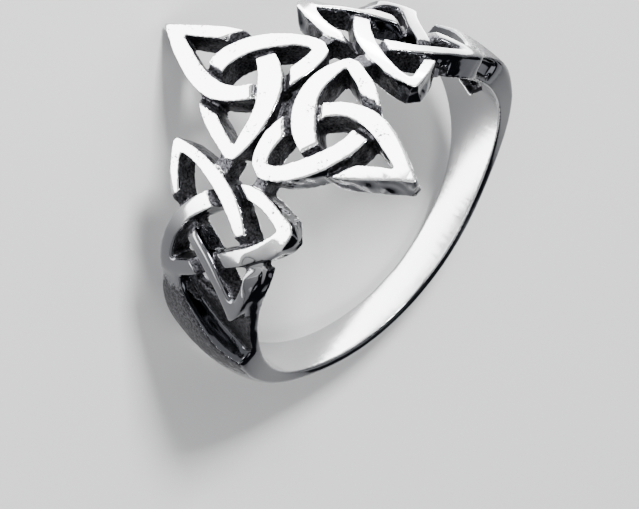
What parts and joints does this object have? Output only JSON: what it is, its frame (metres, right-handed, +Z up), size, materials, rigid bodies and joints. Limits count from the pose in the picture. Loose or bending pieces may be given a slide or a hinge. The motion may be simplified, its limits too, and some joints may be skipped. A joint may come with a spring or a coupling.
{
  "type": "knotwork finger ring",
  "caption": "Polished stainless steel finger ring with an open head of interlaced knots: tall three-pointed knots base to base, a woven oval knot at each side, and a plain tapering band.",
  "frame": {"origin": "centre of the bottom face of the bounding box, on the surface that the ring lies on", "axes": "+Z up, -Y towards the head, +Y towards the back of the band; the finger hole's axis leans from +Z towards +Y"},
  "size_m": [0.0226, 0.0234, 0.0175],
  "materials": {
    "stainless_steel": "polished"
  },
  "bodies": {
    "root": {"ring": "stainless_steel"}
  },
  "joints": []
}
